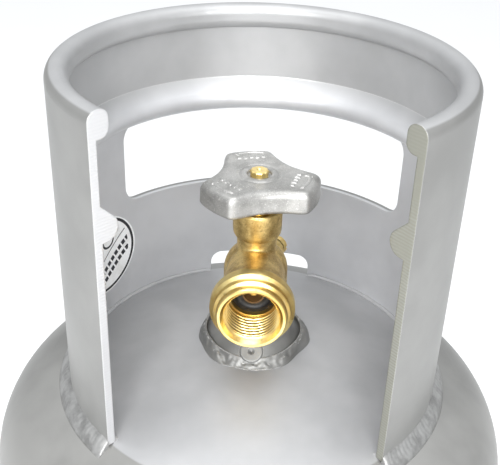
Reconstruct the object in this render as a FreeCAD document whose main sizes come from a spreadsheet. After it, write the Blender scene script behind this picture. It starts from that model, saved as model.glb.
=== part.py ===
import FreeCAD, Part
import math
import os

import Sketcher

# Aluminium LP-gas cylinder with a guard collar and an overfill-protected brass service valve.
#
# Frame: millimetres, +Z up, origin on the cylinder's axis in the plane that the foot ring stands on.
# The valve outlet and the collar's opening face -Y. Valve heights are measured from the circle in
# which the collar's outer face meets the upper head.

DIMENSIONS = {
    # pressure shell
    "shell_radius": 113.0,
    "shell_wall": 4.0,
    "crown_radius": 214.0,
    "knuckle_radius": 36.0,
    "foot_clearance": 18.0,
    "shell_length": 220.0,
    "backing_half": 12.0,
    "backing_wall": 3.0,
    "bead_half": 5.0,
    "bead_rise": 0.9,
    # collar and foot ring
    "ring_radius": 79.4,
    "ring_wall": 3.3,
    "collar_rise": 140.0,
    "collar_half_opening": 42.0,
    "rim_corner": 4.2,
    "rim_nose": 3.8,
    "rim_depth": 8.5,
    "rim_height": 10.5,
    "rib_depth": 10.2,
    "rib_nose": 5.3,
    "rib_bottom": 91.2,
    "rib_top": 105.7,
    "hand_bottom": 52.8,
    "hand_half_angle": 54.5,
    "hand_corner": 8.0,
    "drain_half_angle": 19.0,
    "drain_top": 12.0,
    "drain_corner": 5.5,
    "weld_leg": 5.0,
    "cutter_inset": 20.0,
    "cutter_overhang": 12.0,
    "cutter_drop": 8.0,
    "foot_edge_round": 1.0,
    "foot_vent_radius": 6.0,
    "foot_vent_height": 15.0,
    "label_radius": 19.0,
    "label_thickness": 0.3,
    "label_height": 32.0,
    "label_azimuth": 156.0,
    # valve boss
    "boss_radius": 21.0,
    "boss_top_radius": 15.5,
    "boss_neck_radius": 17.0,
    "boss_top": 23.0,
    "boss_bottom": 1.0,
    "inlet_thread_radius": 13.0,
    "boss_flange_edge": 1.6,
    "boss_weld_leg": 4.5,
    "boss_weld_curve": 7.0,
    "boss_plug_radius": 4.85,
    "boss_plug_height": 2.2,
    "boss_plug_edge": 0.7,
    "boss_plug_dimple": 1.6,
    "boss_plug_tilt": 47.0,
    "boss_plug_cutter": 8.0,
    "boss_plug_sink": 1.6,
    # valve body, heights above the collar's base circle
    "outlet_height": 50.0,
    "outlet_reach": 38.0,
    "outlet_lip_radius": 13.7,
    "outlet_lip_length": 2.6,
    "outlet_ring_radius": 16.65,
    "outlet_ring_length": 4.6,
    "outlet_flank_length": 3.4,
    "outlet_bore_radius": 10.25,
    "outlet_mouth_radius": 12.1,
    "outlet_thread_end": 22.0,
    "outlet_ring_edge": 0.6,
    "check_floor": 4.0,
    "check_port_radius": 4.0,
    "check_shoulder": 8.0,
    "check_bore_radius": 7.4,
    "seal_back": 17.0,
    "seal_radius": 9.4,
    "casting_radius": 13.2,
    "casting_shoulder": 15.5,
    "wrench_across": 27.0,
    "wrench_top": 33.0,
    "barrel_top": 54.0,
    "neck_radius": 8.6,
    "cup_radius": 10.0,
    "cup_bottom": 67.0,
    "cup_top": 78.3,
    "cup_edge": 0.5,
    "recess_radius": 7.9,
    "recess_floor": 70.0,
    "chamber_radius": 7.0,
    "seat_height": 44.0,
    "seat_radius": 4.0,
    "inlet_radius": 6.0,
    "inlet_end": 3.0,
    "nipple_radius": 9.0,
    "nipple_end": -5.0,
    "relief_height": 34.0,
    "relief_boss_radius": 10.0,
    "relief_reach": 27.0,
    "relief_bore_radius": 7.0,
    "relief_port_radius": 3.5,
    "relief_seat": 12.0,
    "relief_edge": 1.5,
    "bleeder_height": 52.0,
    "bleeder_azimuth": 60.0,
    "bleeder_boss_radius": 5.0,
    "bleeder_reach": 15.2,
    "bleeder_thread_radius": 2.55,
    "bleeder_thread_end": 13.4,
    "bleeder_port_radius": 1.0,
    "bleeder_port_end": 10.2,
    "bleeder_slot_width": 1.2,
    "bleeder_slot_depth": 1.4,
    "dip_offset": 11.2,
    "dip_radius": 1.4,
    "dip_wall": 0.45,
    "dip_top": 10.0,
    "dip_bottom": -75.0,
    # stem and handwheel
    "stem_radius": 3.5,
    "stem_top": 95.0,
    "running_gap": 0.05,
    "gasket_thickness": 0.6,
    "stem_flange_radius": 5.2,
    "stem_thread_radius": 3.95,
    "o_ring_wire": 0.58,
    "o_ring_height": 73.95,
    "seat_disc_radius": 5.5,
    "seat_disc_top": 46.5,
    "wheel_bottom": 83.5,
    "wheel_height": 10.0,
    "wheel_tip_radius": 25.0,
    "wheel_tip_half_angle": 21.0,
    "wheel_tip_curve": 34.0,
    "wheel_side_curve": 27.0,
    "wheel_corner": 4.0,
    "wheel_edge": 1.6,
    "wheel_groove_depth": 1.1,
    "wheel_dish_depth": 1.2,
    "wheel_hollow_depth": 3.6,
    "cutter_margin": 1.0,
    "wheel_azimuth": -15.0,
    # float unit
    "float_pivot": -41.0,
    "float_radius": 9.0,
    "float_length": 65.0,
    "float_drop": 19.0,
    "float_edge": 1.5,
    "arm_length": 31.0,
    "arm_width": 3.0,
    "arm_depth": 4.0,
    "arm_hub_radius": 3.2,
    "arm_hub_width": 8.0,
    "pin_radius": 1.25,
    "pin_length": 23.0,
    "housing_radius": 11.8,
    "housing_bore": 9.0,
    "housing_seat": -22.0,
    "window_width": 14.0,
    "window_height": 16.0,
    "port_width": 5.0,
    "port_height": 7.0,
    "port_bottom": -32.0,
}

SHEET = "sizes"


class Size:
    """A number together with the spreadsheet expression that gives it."""

    def __init__(self, value, text):
        self.value = value
        self.text = text

    @staticmethod
    def of(other):
        return other if isinstance(other, Size) else Size(float(other), repr(float(other)))

    def __add__(self, other):
        other = Size.of(other)
        return Size(self.value + other.value, f"({self.text} + {other.text})")

    def __sub__(self, other):
        other = Size.of(other)
        return Size(self.value - other.value, f"({self.text} - {other.text})")

    def __mul__(self, other):
        other = Size.of(other)
        return Size(self.value * other.value, f"({self.text} * {other.text})")

    def __truediv__(self, other):
        other = Size.of(other)
        return Size(self.value / other.value, f"({self.text} / {other.text})")

    def __radd__(self, other):
        return Size.of(other) + self

    def __rsub__(self, other):
        return Size.of(other) - self

    def __rmul__(self, other):
        return Size.of(other) * self

    def __neg__(self):
        return Size(-self.value, f"(0 - {self.text})")

    def root(self):
        return Size(math.sqrt(self.value), f"sqrt({self.text})")

    def cosine(self):
        """Cosine of this many degrees."""
        return Size(math.cos(math.radians(self.value)), f"cos({self.text} * 1 deg)")

    def sine(self):
        """Sine of this many degrees."""
        return Size(math.sin(math.radians(self.value)), f"sin({self.text} * 1 deg)")


ZERO = Size.of(0.0)

doc = FreeCAD.newDocument("lp_gas_cylinder")
sheet = doc.addObject("Spreadsheet::Sheet", SHEET)
for row, (alias, number) in enumerate(DIMENSIONS.items(), start=1):
    sheet.set(f"A{row}", alias)
    sheet.set(f"B{row}", str(number))
    sheet.setAlias(f"B{row}", alias)
doc.recompute()


def size(alias):
    return Size(float(sheet.get(alias)), f"<<{SHEET}>>.{alias}")


# ---------------------------------------------------------------- drawing and solid helpers

def bind(item, prop, amount):
    """Set one property of an object from a size."""
    item.setExpression(prop, Size.of(amount).text)


def place(item, x=0.0, y=0.0, z=0.0, axis=(0, 0, 1), degrees=0.0):
    """Turn an object about an axis through its own origin, then bind its position."""
    item.Placement = FreeCAD.Placement(
        FreeCAD.Vector(Size.of(x).value, Size.of(y).value, Size.of(z).value),
        FreeCAD.Rotation(FreeCAD.Vector(*axis), Size.of(degrees).value),
    )
    for letter, amount in zip("xyz", (x, y, z)):
        if isinstance(amount, Size):
            bind(item, f"Placement.Base.{letter}", amount)
    return item


TO_FRONT = {"axis": (1, 0, 0), "degrees": 90.0}
TO_REAR = {"axis": (1, 0, 0), "degrees": -90.0}
TO_RIGHT = {"axis": (0, 1, 0), "degrees": 90.0}


def arc_between(start, end, radius):
    """Circle arc from start to end. A positive radius turns left along the way, a negative one right."""
    chord = end - start
    middle = (start + end) * 0.5
    left = FreeCAD.Vector(-chord.y, chord.x, 0).normalize()
    rise = math.sqrt(max(radius * radius - chord.Length ** 2 / 4, 0.0))
    centre = middle + left * math.copysign(rise, radius)
    first, last = (start, end) if radius > 0 else (end, start)
    circle = Part.Circle(centre, FreeCAD.Vector(0, 0, 1), abs(radius))
    angles = [math.atan2(point.y - centre.y, point.x - centre.x) for point in (first, last)]
    return Part.ArcOfCircle(circle, *angles)


def pin_point(sketch, geometry, corner, number, across, up):
    """Hold one corner of an outline at its sizes across and up."""
    for kind, axis, letter, amount in (("DistanceX", -2, "x", across), ("DistanceY", -1, "y", up)):
        if abs(amount.value) < 1e-9:
            sketch.addConstraint(Sketcher.Constraint("PointOnObject", geometry, corner, axis))
            continue
        forward = amount.value > 0
        ends = (-1, 1, geometry, corner) if forward else (geometry, corner, -1, 1)
        index = sketch.addConstraint(Sketcher.Constraint(kind, *ends, abs(amount.value)))
        sketch.renameConstraint(index, f"{letter}{number}")
        bind(sketch, f".Constraints.{letter}{number}", amount if forward else -amount)


def draw_outline(sketch, corners):
    """Draw a closed outline. Each corner is (across, up) or (across, up, radius of the arc to the next)."""
    points = [FreeCAD.Vector(Size.of(c[0]).value, Size.of(c[1]).value, 0) for c in corners]
    ends = []
    for number, corner in enumerate(corners):
        start = points[number]
        end = points[(number + 1) % len(points)]
        if len(corner) == 3:
            radius = Size.of(corner[2])
            geometry = sketch.addGeometry(arc_between(start, end, radius.value), False)
            ends.append((geometry, 1, 2) if radius.value > 0 else (geometry, 2, 1))
            index = sketch.addConstraint(Sketcher.Constraint("Radius", geometry, abs(radius.value)))
            sketch.renameConstraint(index, f"radius{number}")
            bind(sketch, f".Constraints.radius{number}", radius if radius.value > 0 else -radius)
        else:
            geometry = sketch.addGeometry(Part.LineSegment(start, end), False)
            ends.append((geometry, 1, 2))
    for number, (geometry, first, last) in enumerate(ends):
        following, following_first, following_last = ends[(number + 1) % len(ends)]
        sketch.addConstraint(Sketcher.Constraint("Coincident", geometry, last, following, following_first))
        pin_point(sketch, geometry, first, number, Size.of(corners[number][0]), Size.of(corners[number][1]))


def new_sketch(body, role, corners):
    plane = [item for item in body.Origin.OriginFeatures if item.Role == role][0]
    sketch = body.newObject("Sketcher::SketchObject", f"{body.Name}_outline")
    sketch.AttachmentSupport = [(plane, "")]
    sketch.MapMode = "FlatFace"
    draw_outline(sketch, corners)
    return sketch


def turned(name, corners, sweep=360.0, **where):
    """Body of revolution about its own Z axis, from corners given as (radius, height)."""
    body = doc.addObject("PartDesign::Body", name)
    body.Label = name
    sketch = new_sketch(body, "XZ_Plane", corners)
    solid = body.newObject("PartDesign::Revolution", f"{name}_turn")
    solid.Profile = (sketch, [""])
    solid.ReferenceAxis = (sketch, ["V_Axis"])
    solid.Angle = Size.of(sweep).value
    if isinstance(sweep, Size):
        bind(solid, "Angle", sweep)
    doc.recompute()
    return place(body, **where)


def padded(name, corners, height, **where):
    """Body pushed up from an outline in its own XY plane."""
    body = doc.addObject("PartDesign::Body", name)
    body.Label = name
    sketch = new_sketch(body, "XY_Plane", corners)
    solid = body.newObject("PartDesign::Pad", f"{name}_pad")
    solid.Profile = (sketch, [""])
    bind(solid, "Length", height)
    doc.recompute()
    return place(body, **where)


def round_edges(body, radius, wanted, name):
    """Fillet the edges of a body's tip that the test picks out."""
    tip = body.Tip
    names = [f"Edge{n}" for n, edge in enumerate(tip.Shape.Edges, start=1) if wanted(edge)]
    fillet = body.newObject("PartDesign::Fillet", name)
    fillet.Base = (tip, names)
    fillet.Radius = Size.of(radius).value
    doc.recompute()
    return fillet


def rod(name, radius, length, sweep=360.0, **where):
    """Cylinder along its own Z axis."""
    item = doc.addObject("Part::Cylinder", name)
    bind(item, "Radius", radius)
    bind(item, "Height", length)
    bind(item, "Angle", sweep)
    return place(item, **where)


def block(name, length, width, height, **where):
    """Box from its own lowest corner."""
    item = doc.addObject("Part::Box", name)
    bind(item, "Length", length)
    bind(item, "Width", width)
    bind(item, "Height", height)
    return place(item, **where)


def fused(name, pieces):
    item = doc.addObject("Part::MultiFuse", name)
    item.Shapes = pieces
    item.Refine = True
    return item


def less(name, base, tools):
    """The base with every tool cut out of it."""
    tool = tools[0] if len(tools) == 1 else fused(f"{name}_tools", tools)
    item = doc.addObject("Part::Cut", name)
    item.Base = base
    item.Tool = tool
    return item


def spring(name, mean_radius, wire_radius, length, turns, **where):
    """Round-wire compression spring along its own Z axis, from the middle of its first turn's wire."""
    rise = length - 2 * wire_radius
    helix = Part.makeLongHelix(rise / turns, rise, mean_radius)
    start = FreeCAD.Vector(mean_radius, 0, 0)
    section = Part.Wire(Part.makeCircle(wire_radius, start, FreeCAD.Vector(0, 1, 0)))
    coil = Part.Wire(helix.Edges).makePipeShell([section], True, True)
    item = doc.addObject("Part::Feature", name)
    item.Shape = Part.Solid(coil) if coil.ShapeType != "Solid" else coil
    return place(item, **where)


# ---------------------------------------------------------------- sizes used in several places

wall = size("shell_wall")
shell_r = size("shell_radius")
crown_r = size("crown_radius")
knuckle_r = size("knuckle_radius")
knuckle_x = shell_r - knuckle_r
crown_drop = ((crown_r - knuckle_r) * (crown_r - knuckle_r) - knuckle_x * knuckle_x).root()
head_depth = crown_r - crown_drop
low_tangent = size("foot_clearance") + head_depth
high_tangent = low_tangent + size("shell_length")
middle_z = (low_tangent + high_tangent) / 2
ring_r = size("ring_radius")
ring_in = ring_r - size("ring_wall")


def head_rise(radius, surface=crown_r):
    """Height of a head's crown above its tangent circle, at a radius from the axis."""
    return (surface * surface - radius * radius).root() - crown_drop


base_z = high_tangent + head_rise(ring_r)
ring_seat = head_rise(ring_in)


def valve_z(height):
    """Height in the part's frame of a height above the collar's base circle."""
    return base_z + (size(height) if isinstance(height, str) else height)


dip_x = size("dip_offset") * size("bleeder_azimuth").cosine()
dip_y = size("dip_offset") * size("bleeder_azimuth").sine()


def to_bleeder(item):
    """Turn an object that was laid along +X to the bleeder's azimuth."""
    turn = FreeCAD.Rotation(FreeCAD.Vector(0, 0, 1), size("bleeder_azimuth").value)
    base = turn.multVec(FreeCAD.Vector(item.Placement.Base.x, item.Placement.Base.y, 0))
    base.z = item.Placement.Base.z
    item.Placement = FreeCAD.Placement(base, turn.multiply(item.Placement.Rotation))
    return item


# ---------------------------------------------------------------- pressure shell

def head_profile(open_radius, skirt):
    """Section of a dished head above its tangent circle, with a skirt below it."""
    inner_r = shell_r - wall
    inner_crown = crown_r - wall
    inner_knuckle = knuckle_r - wall
    share = crown_r / (crown_r - knuckle_r)
    inner_share = inner_crown / (crown_r - knuckle_r)
    join = (knuckle_x * share, crown_drop * share - crown_drop)
    inner_join = (knuckle_x * inner_share, crown_drop * inner_share - crown_drop)
    if open_radius is None:
        top = [(ZERO, head_depth), (ZERO, head_depth - wall, -inner_crown)]
    else:
        top = [(open_radius, head_rise(open_radius)),
               (open_radius, head_rise(open_radius, inner_crown), -inner_crown)]
    return [
        (inner_r, -skirt),
        (shell_r, -skirt),
        (shell_r, ZERO, knuckle_r),
        (join[0], join[1], crown_r),
        *top,
        (inner_join[0], inner_join[1], -inner_knuckle),
        (inner_r, ZERO),
    ]


def make_shell():
    skirt = size("shell_length") / 2
    turned("upper_shell", head_profile(size("boss_neck_radius"), skirt), z=high_tangent)
    turned("lower_shell", head_profile(None, skirt), z=low_tangent, axis=(1, 0, 0), degrees=180.0)
    inner_r = shell_r - wall
    half = size("backing_half")
    turned("backing_ring", [
        (inner_r - size("backing_wall"), -half),
        (inner_r, -half),
        (inner_r, half),
        (inner_r - size("backing_wall"), half),
    ], z=middle_z)
    bead = size("bead_half")
    rise = size("bead_rise")
    turned("girth_weld", [
        (shell_r, -bead),
        (shell_r, bead, -(bead * bead + rise * rise) / (2 * rise)),
    ], z=middle_z)
    return [doc.getObject(n) for n in ("upper_shell", "lower_shell", "backing_ring", "girth_weld")]


# ---------------------------------------------------------------- collar and foot ring

def ring_wedge(name, bottom, top, half_angle, corner, bottom_corners):
    """Cutter through the ring's wall about the +Y direction, with rounded corners at its ends."""
    inner = ring_r - size("cutter_inset")
    outer = ring_r + size("cutter_overhang")
    where = {"z": bottom, "degrees": 90.0 - half_angle.value}
    full = rod(f"{name}_outer", outer, top - bottom, half_angle * 2, **where)
    core = rod(f"{name}_inner", inner, top - bottom, half_angle * 2, **where)
    plain = less(f"{name}_plain", full, [core])
    doc.recompute()

    def is_corner(edge):
        first, last = (vertex.Point for vertex in edge.Vertexes)
        level = abs(first.z - last.z) < 1e-6 and abs(edge.Length - (outer - inner).value) < 1e-6
        return level and (bottom_corners or first.z > bottom.value + 1e-6)

    wedge = doc.addObject("Part::Fillet", name)
    wedge.Base = plain
    wedge.Edges = [(n, corner.value, corner.value) for n, edge in enumerate(plain.Shape.Edges, start=1)
                   if len(edge.Vertexes) == 2 and is_corner(edge)]
    doc.recompute()
    return wedge


def collar_profile():
    """Section of the collar's extruded strip, heights from its bottom edge."""
    lift = ring_seat - head_rise(ring_r)
    top = size("collar_rise") - lift
    nose = size("rim_nose")
    rim_in = ring_r - size("rim_depth")
    rim_low = top - size("rim_height")
    rib_nose = size("rib_nose")
    centre_x = ring_r - size("rib_depth") + rib_nose
    centre_z = size("rib_bottom") - lift + rib_nose
    slope_z = size("rib_top") - lift
    across = ring_in - centre_x
    up = slope_z - centre_z
    span = across * across + up * up
    near = rib_nose * rib_nose / span
    side = rib_nose * (span - rib_nose * rib_nose).root() / span
    corner = size("rim_corner")
    return [
        (ring_in, ZERO),
        (ring_r, ZERO),
        (ring_r, top - corner, corner),
        (ring_r - corner, top),
        (rim_in + nose, top, nose),
        (rim_in, top - nose),
        (rim_in, rim_low + nose, nose),
        (rim_in + nose, rim_low),
        (ring_in, rim_low),
        (ring_in, slope_z),
        (centre_x + near * across - side * up, centre_z + near * up + side * across, rib_nose),
        (centre_x, centre_z - rib_nose),
        (ring_in, centre_z - rib_nose),
    ]


def make_collar():
    opening = size("collar_half_opening")
    turn = 360.0 - opening * 2
    start = opening.value - 90.0
    seat_z = high_tangent + ring_seat
    strip = turned("collar_strip", collar_profile(), turn, z=seat_z, degrees=start)
    hand = ring_wedge("hand_cutter", valve_z("hand_bottom"), valve_z("rib_bottom"),
                      size("hand_half_angle"), size("hand_corner"), True)
    drain = ring_wedge("drain_cutter", base_z - size("cutter_drop"), valve_z("drain_top"),
                       size("drain_half_angle"), size("drain_corner"), False)
    collar = less("collar", strip, [hand, drain])

    leg = size("weld_leg")
    sink = ring_seat - head_rise(ring_r)
    outer_foot = ring_r + leg
    outer_bead = turned("outer_bead", [
        (ring_in, head_rise(ring_in) - ring_seat),
        (ring_in + 0.6, head_rise(ring_in + 0.6) - ring_seat, -crown_r),
        (outer_foot, head_rise(outer_foot) - ring_seat, leg * 1.2),
        (ring_r, leg - sink),
        (ring_r, ZERO),
    ], turn, z=seat_z, degrees=start)
    inner_foot = ring_in - leg
    inner_bead = turned("inner_bead", [
        (ring_in, ZERO),
        (ring_in, leg * 1.1, leg * 1.2),
        (inner_foot, head_rise(inner_foot) - ring_seat, -crown_r),
    ], turn, z=seat_z, degrees=start)
    outer = less("collar_weld_outer", outer_bead, [drain])
    inner = less("collar_weld_inner", inner_bead, [drain])

    rise = size("collar_rise")
    tube = less("label_tube", rod("label_outer", ring_in, rise, z=base_z),
                [rod("label_inner", ring_in - size("label_thickness"), rise, z=base_z)])
    place(tube, degrees=180.0)
    disc = rod("label_disc", size("label_radius"), ring_r, **TO_RIGHT, z=valve_z("label_height"))
    label = doc.addObject("Part::Common", "collar_label")
    label.Base = tube
    label.Tool = disc
    place(label, axis=(0, 0, 1), degrees=size("label_azimuth").value)
    return [collar, outer, inner, label]


def make_foot():
    seat_z = low_tangent - ring_seat
    edge = size("foot_edge_round")
    ring = turned("foot_strip", [
        (ring_in, edge, edge),
        (ring_in + edge, ZERO),
        (ring_r - edge, ZERO, edge),
        (ring_r, edge),
        (ring_r, seat_z),
        (ring_in, seat_z),
    ])
    vents = []
    for number in range(4):
        vent = rod(f"foot_vent_{number}", size("foot_vent_radius"), ring_r + size("cutter_overhang"),
                   **TO_RIGHT, z=size("foot_vent_height"))
        turn = FreeCAD.Rotation(FreeCAD.Vector(0, 0, 1), 45.0 + 90.0 * number)
        vent.Placement.Rotation = turn.multiply(vent.Placement.Rotation)
        vents.append(vent)
    foot = less("foot_ring", ring, vents)
    leg = size("weld_leg")
    outer_foot = ring_r + leg
    weld = turned("foot_weld", [
        (ring_r, -leg),
        (outer_foot, ring_seat - head_rise(outer_foot), -crown_r),
        (ring_r, ring_seat - head_rise(ring_r)),
    ], z=seat_z)
    return [foot, weld]


# ---------------------------------------------------------------- valve boss

def make_boss():
    bore = size("inlet_thread_radius") + size("running_gap")
    radius = size("boss_radius")
    top = size("boss_top")
    top_r = size("boss_top_radius")
    seat = head_rise(radius) - head_rise(ring_r)
    shoulder = head_depth - head_rise(ring_r) + 2 * size("running_gap")
    flange = shoulder + size("boss_flange_edge")
    blank = turned("boss_blank", [
        (bore, size("boss_bottom")),
        (size("boss_neck_radius"), size("boss_bottom")),
        (size("boss_neck_radius"), shoulder),
        (radius, shoulder),
        (radius, flange),
        (top_r + 0.8, top - 0.6, 0.8),
        (top_r, top),
        (bore, top),
    ], z=base_z)

    tilt = size("boss_plug_tilt").value
    middle_r = (radius.value + top_r.value) / 2 + 0.3
    middle = FreeCAD.Vector(0, -middle_r, base_z.value + (flange.value + top.value) / 2)
    slope = FreeCAD.Rotation(FreeCAD.Vector(1, 0, 0), tilt)
    floor = middle + slope.multVec(FreeCAD.Vector(0, 0, -size("boss_plug_sink").value))
    plug_r = size("boss_plug_radius")
    depth = size("boss_plug_cutter")
    spot = rod("plug_spot", plug_r + 1.0, depth)
    spot.Placement = FreeCAD.Placement(middle, slope)
    hole = rod("plug_hole", plug_r, depth)
    hole.Placement = FreeCAD.Placement(floor, slope)
    boss = less("valve_boss", blank, [spot, hole])

    height = size("boss_plug_height")
    edge = size("boss_plug_edge")
    plug = turned("boss_plug", [
        (ZERO, ZERO),
        (plug_r, ZERO),
        (plug_r, height - edge, edge),
        (plug_r - edge, height),
        (size("boss_plug_dimple"), height),
        (ZERO, height - edge),
    ])
    plug.Placement = FreeCAD.Placement(floor, slope)

    weld_foot = radius + size("boss_weld_leg")
    bead = turned("boss_bead", [
        (radius, seat, -crown_r),
        (weld_foot, head_rise(weld_foot) - head_rise(ring_r), size("boss_weld_curve")),
        (radius, flange - 0.2),
    ], z=base_z)
    weld = less("boss_weld", bead, [spot, hole])
    return [boss, plug, weld]


# ---------------------------------------------------------------- valve body

def hexagon(across_flats):
    corner = across_flats / math.sqrt(3.0)
    return [(corner * math.cos(math.radians(60.0 * n)), corner * math.sin(math.radians(60.0 * n)))
            for n in range(6)]


def make_valve_body():
    casting = size("casting_radius")
    lip = size("outlet_lip_radius")
    ring = size("outlet_ring_radius")
    reach = size("outlet_reach")
    lip_end = reach - size("outlet_lip_length")
    crest_front = lip_end - size("outlet_flank_length")
    crest_back = crest_front - size("outlet_ring_length")
    neck = size("neck_radius")
    cup = size("cup_radius")
    cup_edge = size("cup_edge")
    edge = size("outlet_ring_edge")
    relief_edge = size("relief_edge")
    margin = size("cutter_margin")
    barrel = turned("valve_barrel", [
        (ZERO, size("nipple_end")),
        (size("nipple_radius"), size("nipple_end")),
        (size("nipple_radius"), size("inlet_end")),
        (size("inlet_thread_radius"), size("inlet_end")),
        (size("inlet_thread_radius"), size("wrench_top")),
        (casting, size("wrench_top")),
        (casting, size("barrel_top"), size("casting_shoulder")),
        (neck, size("cup_bottom") - 2.0, -2.5),
        (cup, size("cup_bottom")),
        (cup, size("cup_top") - cup_edge, cup_edge),
        (cup - cup_edge, size("cup_top")),
        (ZERO, size("cup_top")),
    ], z=base_z)
    flats = padded("wrench_flats", hexagon(size("wrench_across")),
                   size("wrench_top") - size("boss_top") - 0.5, z=valve_z("boss_top") + 0.5)
    horn = turned("outlet_horn", [
        (ZERO, ZERO),
        (casting - 1.9, ZERO),
        (casting - 0.3, crest_back - 4.5, -9.0),
        (lip + 0.8, crest_back),
        (ring, crest_back),
        (ring, crest_front),
        (lip + edge, lip_end + 0.2),
        (lip, lip_end + 0.2),
        (lip, reach - edge, edge),
        (lip - edge, reach),
        (ZERO, reach),
    ], z=valve_z("outlet_height"), **TO_FRONT)
    relief = turned("relief_boss", [
        (ZERO, ZERO),
        (size("relief_boss_radius") - 0.6, ZERO),
        (size("relief_boss_radius"), size("relief_reach") - relief_edge, relief_edge),
        (size("relief_boss_radius") - relief_edge, size("relief_reach")),
        (ZERO, size("relief_reach")),
    ], z=valve_z("relief_height"), **TO_REAR)
    bleeder = to_bleeder(rod("bleeder_boss", size("bleeder_boss_radius"), size("bleeder_reach"),
                             z=valve_z("bleeder_height"), **TO_RIGHT))
    solid = fused("valve_casting", [barrel, flats, horn, relief, bleeder])

    mouth = size("outlet_mouth_radius")
    bore = size("outlet_bore_radius")
    thread_end = size("outlet_thread_end")
    check_bore = size("check_bore_radius")
    port = size("check_port_radius")
    outlet_hole = turned("outlet_hole", [
        (ZERO, size("check_floor")),
        (port, size("check_floor")),
        (port, size("check_shoulder")),
        (check_bore, size("check_shoulder")),
        (check_bore, size("seal_back")),
        (size("seal_radius"), size("seal_back")),
        (size("seal_radius"), thread_end),
        (bore, thread_end),
        (bore, reach - (mouth - bore) * 1.3),
        (mouth, reach),
        (mouth, reach + margin),
        (ZERO, reach + margin),
    ], z=valve_z("outlet_height"), **TO_FRONT)
    seat_step = size("seat_height") - 4.0
    stem_hole = turned("stem_hole", [
        (ZERO, size("nipple_end") - margin),
        (size("inlet_radius"), size("nipple_end") - margin),
        (size("inlet_radius"), seat_step),
        (size("seat_radius"), seat_step),
        (size("seat_radius"), size("seat_height")),
        (size("chamber_radius"), size("seat_height")),
        (size("chamber_radius"), size("recess_floor")),
        (size("recess_radius"), size("recess_floor")),
        (size("recess_radius"), size("cup_top") + margin),
        (ZERO, size("cup_top") + margin),
    ], z=base_z)
    relief_hole = turned("relief_hole", [
        (ZERO, size("check_floor")),
        (size("relief_port_radius"), size("check_floor")),
        (size("relief_port_radius"), size("relief_seat")),
        (size("relief_bore_radius"), size("relief_seat")),
        (size("relief_bore_radius"), size("relief_reach") + margin),
        (ZERO, size("relief_reach") + margin),
    ], z=valve_z("relief_height"), **TO_REAR)
    bleeder_hole = to_bleeder(turned("bleeder_hole", [
        (ZERO, size("bleeder_port_end")),
        (size("bleeder_port_radius"), size("bleeder_port_end")),
        (size("bleeder_port_radius"), size("bleeder_thread_end")),
        (size("bleeder_thread_radius"), size("bleeder_thread_end")),
        (size("bleeder_thread_radius"), size("bleeder_reach") + margin),
        (ZERO, size("bleeder_reach") + margin),
    ], z=valve_z("bleeder_height"), **TO_RIGHT))
    dip_hole = rod("dip_hole", size("dip_radius"), size("bleeder_height") - size("inlet_end") + margin,
                   x=dip_x, y=dip_y, z=valve_z("inlet_end") - margin)
    return [less("valve_body", solid, [outlet_hole, stem_hole, relief_hole, bleeder_hole, dip_hole])]


# ---------------------------------------------------------------- outlet fittings, along -Y

def make_outlet_parts():
    where = {"z": valve_z("outlet_height"), **TO_FRONT}
    back = size("seal_back")
    shoulder = size("check_shoulder")
    seal = turned("outlet_seal", [
        (4.45, back),
        (size("seal_radius"), back),
        (size("seal_radius"), back + 2.4),
        (7.6, back + 3.2, -2.0),
        (5.6, back + 2.2),
        (4.45, back + 2.2),
    ], **where)
    insert = turned("check_insert", [
        (5.6, shoulder),
        (size("check_bore_radius"), shoulder),
        (size("check_bore_radius"), back),
        (4.4, back),
        (4.4, back + 3.8),
        (3.8, back + 3.8),
        (3.8, shoulder + 6.6),
        (5.6, shoulder + 6.6),
    ], **where)
    poppet = turned("outlet_poppet", [
        (ZERO, shoulder + 2.2),
        (1.4, shoulder + 2.2),
        (1.4, shoulder + 4.6),
        (5.1, shoulder + 4.6),
        (5.1, shoulder + 6.2, 0.3),
        (4.8, shoulder + 6.5),
        (2.2, shoulder + 6.5),
        (2.2, back + 1.4, 0.6),
        (1.6, back + 2.0),
        (ZERO, back + 2.0),
    ], **where)
    wire = 0.35
    coil = spring("outlet_spring", 4.7, wire, 4.4, 3.0, y=-(shoulder.value + wire + 0.1),
                  z=valve_z("outlet_height"), **TO_FRONT)
    return [seal, insert, poppet, coil]


# ---------------------------------------------------------------- relief valve, along +Y

def make_relief_parts():
    where = {"z": valve_z("relief_height"), **TO_REAR}
    seat_y = size("relief_seat")
    reach = size("relief_reach")
    bore = size("relief_bore_radius")
    disc_r = 5.2
    disc_front = seat_y + size("running_gap")
    disc_back = seat_y + 1.3
    seat = turned("relief_seat_disc", [
        (ZERO, disc_front),
        (disc_r, disc_front),
        (disc_r, disc_back),
        (ZERO, disc_back),
    ], **where)
    poppet_back = disc_back + 1.7
    poppet = turned("relief_poppet", [
        (ZERO, disc_back),
        (bore - 0.4, disc_back),
        (bore - 0.4, poppet_back),
        (1.8, poppet_back),
        (1.8, poppet_back + 7.6),
        (1.4, poppet_back + 8.0),
        (ZERO, poppet_back + 8.0),
    ], **where)
    wire = 0.6
    coil = spring("relief_spring", 4.7, wire, 6.8, 4.0, y=poppet_back.value + wire + 0.1,
                  z=valve_z("relief_height"), **TO_REAR)
    adjuster = turned("relief_adjuster", [
        (2.4, reach - 5.0),
        (bore, reach - 5.0),
        (bore, reach - 2.4),
        (3.4, reach - 2.4),
        (2.4, reach - 3.4),
    ], **where)
    cap = turned("relief_cap", [
        (ZERO, reach - 1.1),
        (5.9, reach - 1.1),
        (5.9, reach - 2.3),
        (bore - 0.05, reach - 2.3),
        (bore - 0.05, reach),
        (8.3, reach + 0.05),
        (8.3, reach + 0.9, 0.5),
        (7.8, reach + 1.4),
        (ZERO, reach + 1.4),
    ], **where)
    return [seat, poppet, coil, adjuster, cap]


# ---------------------------------------------------------------- bleeder and dip tube

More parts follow.
